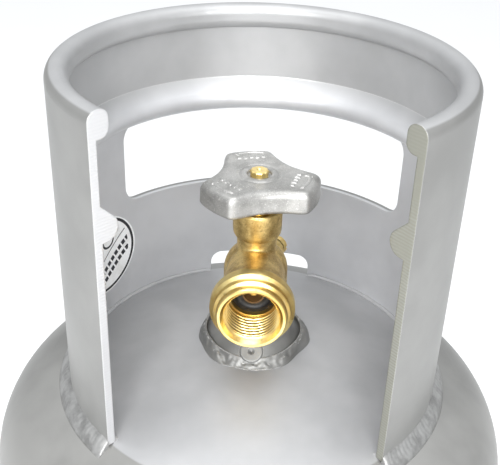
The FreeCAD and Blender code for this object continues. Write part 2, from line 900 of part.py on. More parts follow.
def make_bleeder_parts():
    where = {"z": valve_z("bleeder_height"), **TO_RIGHT}
    reach = size("bleeder_reach")
    bore = size("bleeder_thread_radius")
    washer = to_bleeder(turned("bleeder_washer", [
        (bore + 0.1, reach),
        (3.8, reach),
        (3.8, reach + 0.6),
        (bore + 0.1, reach + 0.6),
    ], **where))
    shank = bore - size("running_gap")
    tip = size("bleeder_thread_end") + 0.02
    under_head = reach + 0.65
    head_top = reach + 3.4
    blank = turned("bleeder_blank", [
        (ZERO, tip),
        (1.6, tip),
        (shank, tip + 0.9),
        (shank, under_head),
        (4.2, under_head),
        (4.2, head_top - 0.5, 0.5),
        (3.7, head_top),
        (ZERO, head_top),
    ], **where)
    slot_width = size("bleeder_slot_width")
    slot = block("bleeder_slot", 3.0, 12.0, slot_width, x=head_top - size("bleeder_slot_depth"), y=-6.0,
                 z=valve_z("bleeder_height") - slot_width / 2)
    screw = to_bleeder(less("bleeder_screw", blank, [slot]))
    radius = size("dip_radius")
    margin = size("cutter_margin")
    bottom = size("dip_bottom")
    length = size("dip_top") - bottom
    tube = less("dip_tube", rod("dip_outer", radius, length, x=dip_x, y=dip_y, z=base_z + bottom), [
        rod("dip_inner", radius - size("dip_wall"), length + 2 * margin, x=dip_x, y=dip_y,
            z=base_z + bottom - margin),
    ])
    return [washer, screw, tube]


# ---------------------------------------------------------------- bonnet, stem, seat and handwheel

def make_stem_parts():
    where = {"z": base_z}
    stem = size("stem_radius")
    bore = stem + size("running_gap")
    recess = size("recess_radius")
    floor = size("recess_floor")
    gasket_top = floor + size("gasket_thickness")
    flange = size("stem_flange_radius")
    wire = size("o_ring_wire")
    ring_z = size("o_ring_height")
    groove_r = bore + 1.2
    bonnet = turned("bonnet_insert", [
        (bore, gasket_top),
        (recess, gasket_top),
        (recess, floor + 6.2),
        (flange + 0.2, floor + 6.2),
        (flange + 0.2, floor + 7.0),
        (bore, floor + 7.0),
        (bore, ring_z + 0.65),
        (groove_r, ring_z + 0.65),
        (groove_r, ring_z - 0.65),
        (bore, ring_z - 0.65),
    ], **where)
    gasket = turned("bonnet_gasket", [
        (flange + 0.2, floor),
        (recess, floor),
        (recess, gasket_top),
        (flange + 0.2, gasket_top),
    ], **where)
    ring = doc.addObject("Part::Torus", "stem_o_ring")
    bind(ring, "Radius1", bore + wire + 0.04)
    bind(ring, "Radius2", wire)
    place(ring, z=valve_z("o_ring_height"))
    thread = size("stem_thread_radius")
    top = size("stem_top")
    shaft = turned("valve_stem", [
        (ZERO, 53.0),
        (3.6, 53.0),
        (thread, 53.4),
        (thread, 66.0),
        (3.0, 66.4),
        (3.0, floor - 2.0),
        (flange, floor - 2.0),
        (flange, floor - 0.1),
        (stem, floor + 0.3),
        (stem, top - 0.9),
        (stem - 0.9, top),
        (1.2, top),
        (ZERO, top - 0.8),
    ], **where)
    carrier_r = size("chamber_radius") - 0.07
    disc_r = size("seat_disc_radius")
    disc_top = size("seat_disc_top")
    carrier = turned("seat_carrier", [
        (ZERO, disc_top),
        (disc_r, disc_top),
        (disc_r, disc_top - 1.1),
        (carrier_r, disc_top - 1.1),
        (carrier_r, 61.5),
        (carrier_r - 0.5, 62.0),
        (thread + 0.05, 62.0),
        (thread + 0.05, 50.0),
        (ZERO, 50.0),
    ], **where)
    face = size("seat_height") + size("running_gap")
    disc = turned("seat_disc", [
        (ZERO, face),
        (disc_r - 0.3, face),
        (disc_r, face + 0.3),
        (disc_r, disc_top),
        (ZERO, disc_top),
    ], **where)
    return [bonnet, gasket, ring, shaft, carrier, disc]


def make_handwheel():
    tip = size("wheel_tip_radius")
    spread = size("wheel_tip_half_angle")
    height = size("wheel_height")
    margin = size("cutter_margin")
    corners = []
    for lobe in range(3):
        for side, curve in ((-1.0, size("wheel_tip_curve")), (1.0, -size("wheel_side_curve"))):
            angle = spread * side + 120.0 * lobe
            corners.append((tip * angle.cosine(), tip * angle.sine(), curve))
    wheel = padded("wheel_blank", corners, height, z=valve_z("wheel_bottom"),
                   degrees=size("wheel_azimuth").value)

    def upright(edge):
        return len(edge.Vertexes) == 2 and abs(edge.Vertexes[0].Z - edge.Vertexes[1].Z) > height.value / 2

    def rim(edge):
        return abs(edge.BoundBox.ZMax - edge.BoundBox.ZMin) < 1e-4

    round_edges(wheel, size("wheel_corner"), upright, "wheel_corners")
    round_edges(wheel, size("wheel_edge"), rim, "wheel_rim")
    where = {"z": valve_z("wheel_bottom")}
    stem = size("stem_radius")
    groove_floor = height - size("wheel_groove_depth")
    groove = turned("wheel_groove", [
        (7.2, groove_floor),
        (8.6, groove_floor),
        (9.4, height + margin),
        (6.4, height + margin),
    ], **where)
    dish = turned("wheel_dish", [
        (stem, height - size("wheel_dish_depth")),
        (4.4, height - size("wheel_dish_depth")),
        (5.0, height + margin),
        (stem, height + margin),
    ], **where)
    hollow = turned("wheel_hollow", [
        (6.6, -margin),
        (11.5, -margin),
        (11.0, size("wheel_hollow_depth")),
        (7.0, size("wheel_hollow_depth")),
    ], **where)
    hole = rod("wheel_hole", stem, height + 2 * margin, z=valve_z("wheel_bottom") - margin)
    return [less("handwheel", wheel, [groove, dish, hollow, hole])]


# ---------------------------------------------------------------- overfill stop unit inside the shell

def make_float_unit():
    where = {"z": base_z}
    pivot = size("float_pivot")
    pivot_z = valve_z("float_pivot")
    outer = size("housing_radius")
    bore = size("housing_bore")
    seat = size("housing_seat")
    shell = turned("opd_shell", [
        (bore, 2.8),
        (outer, 2.8),
        (outer, pivot - 4.0),
        (bore, pivot - 4.0),
        (bore, seat),
        (4.0, seat),
        (4.0, seat + 2.5),
        (bore - 1.0, seat + 2.5),
        (bore - 1.0, size("nipple_end")),
        (bore, size("nipple_end")),
    ], **where)
    width = size("window_width")
    port = size("port_width")
    pin_r = size("pin_radius")
    through = 2 * outer + 2 * size("cutter_margin")
    window = block("opd_window", width, 12.0, size("window_height"), x=-width, y=-6.0, z=pivot_z - 5.0)
    groove = rod("opd_groove", size("dip_radius") + 0.3, 60.0, x=dip_x, y=dip_y, z=base_z - 50.0)
    pin_hole = rod("opd_pin_hole", pin_r, through, y=-through / 2, z=pivot_z, **TO_REAR)
    vent = block("opd_port", port, through, size("port_height"), x=-port / 2, y=-through / 2,
                 z=valve_z("port_bottom"))
    housing = less("opd_housing", shell, [window, groove, pin_hole, vent])
    pin_length = size("pin_length")
    pin = rod("float_pin", pin_r, pin_length, y=-pin_length / 2, z=pivot_z, **TO_REAR)
    poppet = turned("opd_poppet", [
        (ZERO, seat - 14.6),
        (1.8, seat - 14.6),
        (1.8, seat - 4.2),
        (6.4, seat - 4.2),
        (6.4, seat - 2.2),
        (ZERO, seat - 2.2),
    ], **where)

    hub_width = size("arm_hub_width")
    arm_width = size("arm_width")
    arm_depth = size("arm_depth")
    reach = size("arm_length")
    radius = size("float_radius")
    length = size("float_length")
    edge = size("float_edge")
    float_top = size("float_drop")
    socket_depth = reach - float_top + 2.0
    beside = {"x": -arm_width / 2, "y": -arm_depth / 2, "z": pivot_z - reach}
    hub = rod("arm_hub", size("arm_hub_radius"), hub_width, y=-hub_width / 2, z=pivot_z, **TO_REAR)
    bar = block("arm_bar", arm_width, arm_depth, reach - 1.0, **beside)
    arm_hole = rod("arm_hole", pin_r + size("running_gap"), through, y=-through / 2, z=pivot_z, **TO_REAR)
    arm = less("float_arm", fused("arm_solid", [hub, bar]), [arm_hole])
    blank = turned("float_blank", [
        (ZERO, ZERO),
        (radius - edge, ZERO, edge),
        (radius, edge),
        (radius, length - edge, edge),
        (radius - edge, length),
        (ZERO, length),
    ], z=pivot_z - float_top - length)
    socket = block("float_socket", arm_width, arm_depth, socket_depth, **beside)
    bob = less("float", blank, [socket])
    return [housing, pin, poppet, arm, bob]


# ---------------------------------------------------------------- build, check and write

def finish(items):
    doc.recompute()
    for item in doc.Objects:
        if "Invalid" in item.State or "Error" in item.State:
            raise RuntimeError(f"{item.Name} did not compute: {item.State}")
    os.makedirs("parts", exist_ok=True)
    for item in items:
        item.Label = item.Name
        shape = item.Shape
        if shape.isNull() or not shape.isValid() or not shape.Solids:
            raise RuntimeError(f"{item.Name} has no valid solid")
        box = shape.BoundBox
        print(f"{item.Label:20s} solids {len(shape.Solids)}  volume {shape.Volume:12.1f}"
              f"  x {box.XMin:7.1f} {box.XMax:7.1f}  y {box.YMin:7.1f} {box.YMax:7.1f}"
              f"  z {box.ZMin:7.1f} {box.ZMax:7.1f}")
        shape.exportStep(f"parts/{item.Label}.step")


finish(
    make_shell() + make_collar() + make_foot() + make_boss() + make_valve_body()
    + make_outlet_parts() + make_relief_parts() + make_bleeder_parts() + make_stem_parts()
    + make_handwheel() + make_float_unit()
)
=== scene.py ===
import math

import bmesh
import bpy
from mathutils import Matrix, Vector, noise


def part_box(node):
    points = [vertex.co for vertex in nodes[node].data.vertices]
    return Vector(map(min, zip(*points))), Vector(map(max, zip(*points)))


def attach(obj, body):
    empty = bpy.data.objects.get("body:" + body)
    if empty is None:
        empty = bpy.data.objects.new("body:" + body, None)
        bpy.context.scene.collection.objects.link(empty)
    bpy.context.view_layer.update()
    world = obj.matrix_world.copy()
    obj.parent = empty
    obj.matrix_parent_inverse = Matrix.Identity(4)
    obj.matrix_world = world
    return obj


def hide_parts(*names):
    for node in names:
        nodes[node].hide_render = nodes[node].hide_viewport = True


# Looks of a small aluminium LP-gas cylinder: welded guard collar, low dome and brass service valve.
# Everything is in metres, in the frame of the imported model.

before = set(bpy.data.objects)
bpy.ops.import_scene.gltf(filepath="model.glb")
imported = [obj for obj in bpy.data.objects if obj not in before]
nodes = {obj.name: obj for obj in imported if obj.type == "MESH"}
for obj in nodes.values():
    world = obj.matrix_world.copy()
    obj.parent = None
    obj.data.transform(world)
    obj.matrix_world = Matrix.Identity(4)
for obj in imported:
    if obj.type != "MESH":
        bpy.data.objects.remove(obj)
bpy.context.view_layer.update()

MM = 0.001
TAU = 2.0 * math.pi

# ---------------------------------------------------------------- sizes read from the frame

COLLAR_LOW, COLLAR_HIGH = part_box("collar")
RING_R = COLLAR_HIGH.x
RING_WALL = 3.3 * MM
RING_IN = RING_R - RING_WALL
CROWN_R = 214.0 * MM
COLLAR_GAP = 1.29 * MM
# BASE is the height at which the dome meets the collar's outside. The collar starts a little above it.
BASE = COLLAR_LOW.z - COLLAR_GAP
HALF_OPENING = math.radians(42.0)
DRAIN_HALF = math.radians(19.0)
BLEEDER_AZIMUTH = math.radians(60.0)
OUTLET_Z = (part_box("outlet_seal")[0].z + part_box("outlet_seal")[1].z) / 2
WHEEL_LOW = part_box("handwheel")[0].z
WHEEL_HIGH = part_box("handwheel")[1].z
STEM_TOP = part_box("valve_stem")[1].z


def dome_z(radius):
    """Height of the upper head's outside at a radius from the axis, where it is part of the crown."""
    foot = math.sqrt(CROWN_R ** 2 - RING_R ** 2)
    return BASE + math.sqrt(CROWN_R ** 2 - radius ** 2) - foot


# ---------------------------------------------------------------- mesh helpers

def new_object(name, mesh):
    piece = bpy.data.objects.new(name, mesh)
    bpy.context.scene.collection.objects.link(piece)
    return piece


def smooth(piece, angle=40.0):
    """Shade a piece smooth, with edges sharper than the angle kept."""
    mesh = piece.data
    for face in mesh.polygons:
        face.use_smooth = True
    mesh.set_sharp_from_angle(angle=math.radians(angle))
    return piece


def grid(name, rows, wrap_rows=False, wrap_columns=True):
    """Mesh of quads through rows of points. Wrapping joins the last row or column to the first."""
    mesh = bpy.data.meshes.new(name)
    count = len(rows[0])
    points = [point for row in rows for point in row]
    faces = []
    for i in range(len(rows) if wrap_rows else len(rows) - 1):
        below = i * count
        above = ((i + 1) % len(rows)) * count
        for j in range(count if wrap_columns else count - 1):
            k = (j + 1) % count
            faces.append((below + j, below + k, above + k, above + j))
    mesh.from_pydata(points, [], faces)
    made = bmesh.new()
    made.from_mesh(mesh)
    bmesh.ops.remove_doubles(made, verts=made.verts, dist=1e-7)
    bmesh.ops.recalc_face_normals(made, faces=made.faces)
    made.to_mesh(mesh)
    made.free()
    return new_object(name, mesh)


UP = Matrix.Identity(3)
FRONT = Matrix(((1, 0, 0), (0, 0, -1), (0, 1, 0)))
REAR = Matrix(((1, 0, 0), (0, 0, 1), (0, -1, 0)))
RIGHT = Matrix(((0, 0, 1), (0, 1, 0), (-1, 0, 0)))


def turned(name, profile, turn=UP, centre=(0, 0, 0), segments=96, closed=True, warp=None):
    """Lathe a profile of (radius, along) in millimetres. warp(angle, radius, along) may move a point."""
    rows = []
    for radius, along in profile:
        row = []
        for j in range(segments):
            angle = TAU * j / segments
            r, a = warp(angle, radius, along) if warp else (radius, along)
            point = turn @ Vector((r * math.cos(angle), r * math.sin(angle), a))
            row.append(Vector(centre) + point * MM)
        rows.append(row)
    return grid(name, rows, wrap_rows=closed)


def joined(name, pieces):
    """One object from several, which are removed."""
    made = bmesh.new()
    for piece in pieces:
        made.from_mesh(piece.data)
        bpy.data.objects.remove(piece)
    mesh = bpy.data.meshes.new(name)
    made.to_mesh(mesh)
    made.free()
    return new_object(name, mesh)


def roughened(piece, amount, wanted=None):
    """Push each vertex along its normal by amount(place), in millimetres."""
    mesh = piece.data
    places = [vertex.co.copy() for vertex in mesh.vertices]
    normals = [vertex.normal.copy() for vertex in mesh.vertices]
    moved = []
    for place, normal in zip(places, normals):
        shift = amount(place) if wanted is None or wanted(place) else 0.0
        moved.extend(place + normal * shift * MM)
    mesh.vertices.foreach_set("co", moved)
    mesh.update()
    return piece


def applied(piece):
    """Bake a piece's modifiers into its mesh."""
    graph = bpy.context.evaluated_depsgraph_get()
    mesh = bpy.data.meshes.new_from_object(piece.evaluated_get(graph))
    piece.modifiers.clear()
    piece.data = mesh
    return piece


def step(value, edge, width=0.22):
    """Smooth step from 0 to 1 as value passes edge."""
    t = min(max((value - edge) / width + 0.5, 0.0), 1.0)
    return t * t * (3.0 - 2.0 * t)


def arc(centre, radius, start, end, steps):
    """Points of an arc in a profile, angles in degrees."""
    out = []
    for n in range(steps + 1):
        angle = math.radians(start + (end - start) * n / steps)
        out.append((centre[0] + radius * math.cos(angle), centre[1] + radius * math.sin(angle)))
    return out


def put(piece, body, slot, *replaced):
    """Give a piece its body and hide the CAD nodes that it stands for. slot is not used."""
    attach(piece, body)
    if replaced:
        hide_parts(*replaced)
    return piece


# ---------------------------------------------------------------- material helpers

class Nodes:
    """Short names for building one node material."""

    def __init__(self, name):
        self.material = bpy.data.materials.new(name)
        self.material.use_nodes = True
        self.tree = self.material.node_tree
        self.shader = self.tree.nodes["Principled BSDF"]
        self.place = self.tree.nodes.new("ShaderNodeTexCoord").outputs["Object"]

    def link(self, value, socket):
        if hasattr(value, "is_linked"):
            self.tree.links.new(value, socket)
        else:
            socket.default_value = value

    def math(self, kind, first, second=0.0, third=0.0, clamp=False):
        node = self.tree.nodes.new("ShaderNodeMath")
        node.operation = kind
        node.use_clamp = clamp
        for value, socket in zip((first, second, third), node.inputs):
            self.link(value, socket)
        return node.outputs[0]

    def noise(self, scale, detail=3.0, rough=0.5, stretch=None):
        node = self.tree.nodes.new("ShaderNodeTexNoise")
        self.link(self.stretched(self.place, stretch), node.inputs["Vector"])
        node.inputs["Scale"].default_value = scale
        node.inputs["Detail"].default_value = detail
        node.inputs["Roughness"].default_value = rough
        return node.outputs["Fac"]

    def cells(self, scale):
        node = self.tree.nodes.new("ShaderNodeTexVoronoi")
        self.link(self.place, node.inputs["Vector"])
        node.inputs["Scale"].default_value = scale
        return node.outputs["Distance"]

    def stretched(self, place, stretch):
        if not stretch:
            return place
        node = self.tree.nodes.new("ShaderNodeMapping")
        node.inputs["Scale"].default_value = stretch
        self.link(place, node.inputs["Vector"])
        return node.outputs["Vector"]

    def ramp(self, value, low, high, out_low=0.0, out_high=1.0):
        node = self.tree.nodes.new("ShaderNodeMapRange")
        node.interpolation_type = "SMOOTHSTEP"
        for socket, number in zip(node.inputs, (value, low, high, out_low, out_high)):
            self.link(number, socket)
        return node.outputs[0]

    def mix(self, share, first, second):
        node = self.tree.nodes.new("ShaderNodeMix")
        node.data_type = "RGBA"
        self.link(share, node.inputs["Factor"])
        self.link(first, node.inputs["A"])
        self.link(second, node.inputs["B"])
        return node.outputs["Result"]

    def blend(self, share, first, second):
        """Number between first and second."""
        return self.math("MULTIPLY_ADD", share, self.math("SUBTRACT", second, first), first)

    def split(self):
        node = self.tree.nodes.new("ShaderNodeSeparateXYZ")
        self.link(self.place, node.inputs[0])
        return node.outputs

    def bump(self, height, distance, strength=1.0, normal=None):
        node = self.tree.nodes.new("ShaderNodeBump")
        node.inputs["Distance"].default_value = distance
        node.inputs["Strength"].default_value = strength
        self.link(height, node.inputs["Height"])
        if normal is not None:
            self.link(normal, node.inputs["Normal"])
        return node.outputs["Normal"]

    def edge_wear(self, radius):
        """1 on convex edges, found from how much a rounded normal differs from the true one."""
        bevel = self.tree.nodes.new("ShaderNodeBevel")
        bevel.inputs["Radius"].default_value = radius
        bevel.samples = 4
        geometry = self.tree.nodes.new("ShaderNodeNewGeometry")
        dot = self.tree.nodes.new("ShaderNodeVectorMath")
        dot.operation = "DOT_PRODUCT"
        self.link(bevel.outputs[0], dot.inputs[0])
        self.link(geometry.outputs["Normal"], dot.inputs[1])
        return self.ramp(dot.outputs["Value"], 0.995, 0.90), bevel.outputs[0]

    def finish(self, color, rough, normal=None, metallic=1.0, **values):
        self.link(color, self.shader.inputs["Base Color"])
        self.link(rough, self.shader.inputs["Roughness"])
        self.link(metallic, self.shader.inputs["Metallic"])
        if normal is not None:
            self.link(normal, self.shader.inputs["Normal"])
        for socket, number in values.items():
            self.shader.inputs[socket.replace("_", " ")].default_value = number
        return self.material


def rgba(red, green, blue):
    return (red, green, blue, 1.0)


# ---------------------------------------------------------------- materials

def satin_aluminium(name, light, dark, inner=None, inner_r=None, cut_faces=False):
    """Blasted and clear-coated aluminium: fine tooth, faint clouds, small pits and brighter edges.

    inner is the light and dark colour of a lighter copy of the metal, painted light inside inner_r of the
    axis, half as strong on the rim. cut_faces adds saw marks on the collar's two cut ends, with painted
    light on the left end and painted shade on the right.
    """
    n = Nodes(name)
    clouds = n.noise(9.0, 4.0, 0.55)
    blotches = n.noise(38.0, 3.0, 0.6)
    tone = n.math("ADD", n.math("MULTIPLY", clouds, 0.65), n.math("MULTIPLY", blotches, 0.35))
    tone = n.ramp(tone, 0.36, 0.64)
    color = n.mix(tone, rgba(*dark), rgba(*light))
    x, y, z = n.split()
    # Painted light: inside inner_r the colour turns to a lighter copy, standing in for the light that falls
    # into the collar, half as strong near the rim.
    if inner:
        reach = n.math("SQRT", n.math("ADD", n.math("MULTIPLY", x, x), n.math("MULTIPLY", y, y)))
        lit_inside_share = n.ramp(reach, inner_r + 0.4 * MM, inner_r - 0.4 * MM)
        below_rim = n.ramp(z, COLLAR_HIGH.z - 42.0 * MM, COLLAR_HIGH.z - 34.0 * MM, 1.0, 0.5)
        lit_inside_share = n.math("MULTIPLY", lit_inside_share, below_rim)
        color = n.mix(lit_inside_share, color, n.mix(tone, rgba(*inner[1]), rgba(*inner[0])))
    tooth = n.noise(1900.0, 2.0, 0.6)
    drawn = n.noise(120.0, 3.0, 0.6, stretch=(1.0, 1.0, 9.0))
    pits = n.ramp(n.cells(150.0), 0.05, 0.0)
    sparse = n.ramp(n.noise(60.0, 1.0), 0.60, 0.66)
    pits = n.math("MULTIPLY", pits, sparse)
    edge, rounded = n.edge_wear(0.7 * MM)
    color = n.mix(n.math("MULTIPLY", pits, 0.55), color, rgba(0.20, 0.20, 0.20))
    color = n.mix(n.math("MULTIPLY", edge, 0.5), color, rgba(0.80, 0.80, 0.79))
    rough = n.math("ADD", n.blend(blotches, 0.40, 0.52), n.math("MULTIPLY", edge, -0.08))
    height = n.math("ADD", n.math("MULTIPLY", tooth, 0.6), n.math("MULTIPLY", drawn, 0.5))
    height = n.math("SUBTRACT", height, n.math("MULTIPLY", pits, 1.5))
    normal = n.bump(height, 0.05 * MM, 0.75, rounded)
    if cut_faces:
        azimuth = n.math("ARCTAN2", x, n.math("MULTIPLY", y, -1.0))
        near = n.math("ABSOLUTE", n.math("SUBTRACT", n.math("ABSOLUTE", azimuth), HALF_OPENING))
        cut = n.ramp(near, 0.0012, 0.0006)
        wobble = n.math("MULTIPLY", n.noise(260.0, 2.0), 3.0)
        teeth = n.math("SINE", n.math("ADD", n.math("MULTIPLY", z, TAU / (1.25 * MM)), wobble))
        teeth = n.math("MULTIPLY", n.math("MULTIPLY_ADD", teeth, 0.5, 0.5), n.ramp(clouds, 0.35, 0.65))
        # Painted light: the left cut face gets a light colour as if lit and the right cut face a dark colour
        # as if in shade, though both are the same cut metal.
        left = n.ramp(x, 0.001, -0.001)
        cut_face_lit_and_shaded = n.mix(left, rgba(0.28, 0.28, 0.24), rgba(0.64, 0.64, 0.65))
        scored = n.mix(n.math("MULTIPLY", teeth, 0.14), cut_face_lit_and_shaded, rgba(0.95, 0.95, 0.92))
        color = n.mix(cut, color, scored)
        rough = n.blend(cut, rough, 0.36)
        normal = n.bump(n.math("MULTIPLY", teeth, cut), 0.09 * MM, 0.8, normal)
    return n.finish(color, rough, normal, 0.50, Coat_Weight=0.10, Coat_Roughness=0.30)


def weld_metal(name):
    """Bead metal with faint sooty patches and a fine grain."""
    n = Nodes(name)
    soot = n.noise(160.0, 4.0, 0.6)
    color = n.mix(n.ramp(soot, 0.35, 0.65), rgba(0.25, 0.25, 0.245), rgba(0.38, 0.38, 0.375))
    grain = n.noise(1500.0, 3.0, 0.6)
    normal = n.bump(grain, 0.08 * MM, 0.8)
    return n.finish(color, n.blend(soot, 0.38, 0.52), normal, 0.65, Coat_Weight=0.08)


def cast_brass():
    """Rough sand-cast brass with a dull golden-brown skin, grains and bright painted glints."""
    n = Nodes("cast_brass_skin")
    patches = n.noise(160.0, 4.0, 0.6)
    grains = n.noise(1500.0, 3.0, 0.65)
    color = n.mix(n.ramp(patches, 0.34, 0.66), rgba(0.48, 0.32, 0.11), rgba(0.84, 0.64, 0.27))
    # Painted highlight: glints are painted as bright spots on the grains.
    painted_glints = n.ramp(grains, 0.58, 0.70)
    color = n.mix(n.math("MULTIPLY", painted_glints, 0.75), color, rgba(0.92, 0.72, 0.36))
    dark = n.ramp(grains, 0.42, 0.34)
    color = n.mix(n.math("MULTIPLY", dark, 0.45), color, rgba(0.16, 0.09, 0.03))
    coarse = n.noise(620.0, 3.0, 0.6)
    height = n.math("ADD", n.math("MULTIPLY", grains, 0.7), coarse)
    normal = n.bump(height, 0.16 * MM, 0.85)
    return n.finish(color, n.blend(patches, 0.34, 0.50), normal, 0.95)


def turned_brass(name, across=(1.0, 1.0, 1.0), fine=2600.0, threaded=False):
    """Bright turned brass with tool marks that run round the part, and painted shade in the roots of the
    outlet's thread.
    """
    n = Nodes(name)
    marks = n.noise(fine, 2.0, 0.5, stretch=across)
    tint = n.noise(70.0, 3.0, 0.6)
    color = n.mix(n.ramp(tint, 0.35, 0.68), rgba(0.80, 0.55, 0.18), rgba(0.97, 0.78, 0.34))
    color = n.mix(n.math("MULTIPLY", n.ramp(marks, 0.55, 0.75), 0.30), color, rgba(1.0, 0.86, 0.55))
    spots = n.ramp(n.noise(420.0, 2.0), 0.66, 0.74)
    color = n.mix(n.math("MULTIPLY", spots, 0.5), color, rgba(0.42, 0.25, 0.07))
    if threaded:
        x, y, z = n.split()
        rise = n.math("SUBTRACT", z, OUTLET_Z)
        reach = n.math("SQRT", n.math("ADD", n.math("MULTIPLY", x, x), n.math("MULTIPLY", rise, rise)))
        bore = n.math("MULTIPLY", n.ramp(reach, 11.6 * MM, 11.3 * MM), n.ramp(y, -35.2 * MM, -34.8 * MM))
        # Painted shade: the roots of the outlet's thread are darkened as if shadowed.
        roots = n.math("MULTIPLY", n.ramp(reach, 10.35 * MM, 10.85 * MM), bore)
        color = n.mix(n.math("MULTIPLY", roots, 0.85), color, rgba(0.16, 0.075, 0.02))
    normal = n.bump(marks, 0.03 * MM, 0.6)
    return n.finish(color, n.blend(tint, 0.24, 0.36), normal, 1.0)


def die_cast():
    """Grainy grey die-cast alloy, worn brighter on its edges and marks."""
    n = Nodes("die_cast_skin")
    clouds = n.noise(110.0, 4.0, 0.6)
    grains = n.noise(2000.0, 3.0, 0.7)
    color = n.mix(n.ramp(clouds, 0.32, 0.68), rgba(0.34, 0.336, 0.323), rgba(0.50, 0.495, 0.478))
    color = n.mix(n.math("MULTIPLY", n.ramp(grains, 0.58, 0.68), 0.6), color, rgba(0.88, 0.87, 0.85))
    color = n.mix(n.math("MULTIPLY", n.ramp(grains, 0.42, 0.33), 0.5), color, rgba(0.24, 0.24, 0.23))
    edge, rounded = n.edge_wear(0.5 * MM)
    color = n.mix(n.math("MULTIPLY", edge, 0.6), color, rgba(0.92, 0.92, 0.90))
    normal = n.bump(grains, 0.12 * MM, 0.8, rounded)
    rough = n.math("ADD", n.blend(clouds, 0.36, 0.48), n.math("MULTIPLY", edge, -0.1))
    return n.finish(color, rough, normal, 0.80)


def rubber():
    n = Nodes("black_rubber")
    dust = n.noise(300.0, 4.0, 0.6)
    color = n.mix(n.ramp(dust, 0.45, 0.75), rgba(0.012, 0.012, 0.013), rgba(0.045, 0.044, 0.042))
    normal = n.bump(n.noise(1400.0, 2.0), 0.04 * MM, 0.5)
    return n.finish(color, n.blend(dust, 0.42, 0.62), normal, 0.0)


def moulded_plastic(name, dark, light):
    n = Nodes(name)
    tone = n.noise(140.0, 3.0, 0.5)
    color = n.mix(tone, rgba(*dark), rgba(*light))
    normal = n.bump(n.noise(1700.0, 2.0), 0.04 * MM, 0.5)
    return n.finish(color, n.blend(tone, 0.38, 0.52), normal, 0.0)


def drawn_steel():
    n = Nodes("drawn_steel")
    marks = n.noise(1800.0, 2.0, 0.5, stretch=(1.0, 1.0, 0.15))
    color = n.mix(marks, rgba(0.42, 0.42, 0.43), rgba(0.66, 0.66, 0.67))
    return n.finish(color, n.blend(marks, 0.24, 0.36), n.bump(marks, 0.02 * MM, 0.5), 1.0)


def printed_label():
    """White vinyl disc with a black border, a slanting rule and generic bars where print would be."""
    n = Nodes("label_print")
    low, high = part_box("collar_label")
    middle = (low + high) / 2
    azimuth = math.atan2(middle.y, middle.x)
    radius = (high.z - low.z) / 2
    x, y, z = n.split()
    turn = Vector((math.cos(azimuth), math.sin(azimuth)))
    along = n.math("SUBTRACT", n.math("MULTIPLY", y, turn.x), n.math("MULTIPLY", x, turn.y))
    towards = n.math("ADD", n.math("MULTIPLY", x, turn.x), n.math("MULTIPLY", y, turn.y))
    u = n.math("MULTIPLY", n.math("ARCTAN2", along, towards), -RING_IN)
    v = n.math("SUBTRACT", z, middle.z)
    reach = n.math("SQRT", n.math("ADD", n.math("MULTIPLY", u, u), n.math("MULTIPLY", v, v)))
    border = n.math("MULTIPLY", n.ramp(reach, radius - 2.05 * MM, radius - 1.95 * MM),
                    n.ramp(reach, radius - 0.55 * MM, radius - 0.65 * MM))
    slant = math.radians(33.0)
    along_slant, up_slant = math.cos(slant), math.sin(slant)
    across = n.math("SUBTRACT", n.math("MULTIPLY", v, along_slant), n.math("MULTIPLY", u, up_slant))
    level = n.math("ADD", n.math("MULTIPLY", u, along_slant), n.math("MULTIPLY", v, up_slant))
    inside = n.ramp(reach, radius - 3.2 * MM, radius - 3.3 * MM)

    def band(value, centre, half):
        away = n.math("ABSOLUTE", n.math("SUBTRACT", value, centre))
        return n.ramp(away, half + 0.05 * MM, half - 0.05 * MM)

    rule = n.math("MULTIPLY", band(across, 0.4 * MM, 0.28 * MM), inside)
    rows = n.math("MAXIMUM", band(across, -4.6 * MM, 1.25 * MM), band(across, -9.0 * MM, 1.25 * MM))
    pitch = n.math("FRACT", n.math("DIVIDE", level, 3.1 * MM))
    strokes = n.ramp(n.math("ABSOLUTE", n.math("SUBTRACT", pitch, 0.5)), 0.37, 0.35)
    margin = n.ramp(reach, radius - 4.0 * MM, radius - 4.1 * MM)
    rows = n.math("MULTIPLY", n.math("MULTIPLY", rows, strokes), margin)
    ring = n.math("SQRT", n.math("ADD", n.math("POWER", n.math("SUBTRACT", u, 1.0 * MM), 2.0),
                                 n.math("POWER", n.math("SUBTRACT", v, 8.0 * MM), 2.0)))
    emblem = band(ring, 4.0 * MM, 0.55 * MM)
    ink = n.math("MAXIMUM", n.math("MAXIMUM", border, rule), n.math("MAXIMUM", rows, emblem), clamp=True)
    dirt = n.noise(170.0, 4.0, 0.6)
    paper = n.mix(n.ramp(dirt, 0.45, 0.8), rgba(0.86, 0.87, 0.88), rgba(0.70, 0.70, 0.69))
    color = n.mix(ink, paper, rgba(0.015, 0.016, 0.02))
    normal = n.bump(n.noise(240.0, 2.0), 0.05 * MM, 0.5)
    return n.finish(color, n.blend(ink, 0.34, 0.26), normal, 0.0, Coat_Weight=0.25, Coat_Roughness=0.2)


INSIDE_R = RING_IN + 1.5 * MM
# Painted light: lighter copies of the shell's and collar's colours, used inside the collar.
SHELL_INSIDE_PAINTED_LIGHT = ((0.48, 0.483, 0.49), (0.38, 0.383, 0.39))
COLLAR_INSIDE_PAINTED_LIGHT = ((0.66, 0.665, 0.68), (0.55, 0.555, 0.57))
SHELL = satin_aluminium("satin_shell", (0.335, 0.333, 0.322), (0.25, 0.249, 0.24),
                        SHELL_INSIDE_PAINTED_LIGHT, INSIDE_R)
COLLAR = satin_aluminium("satin_collar", (0.305, 0.305, 0.297), (0.235, 0.235, 0.228),
                         COLLAR_INSIDE_PAINTED_LIGHT, INSIDE_R, cut_faces=True)
BOSS = satin_aluminium("boss_metal", (0.37, 0.37, 0.36), (0.12, 0.12, 0.115))
WELD = weld_metal("weld_bead")
CAST = cast_brass()
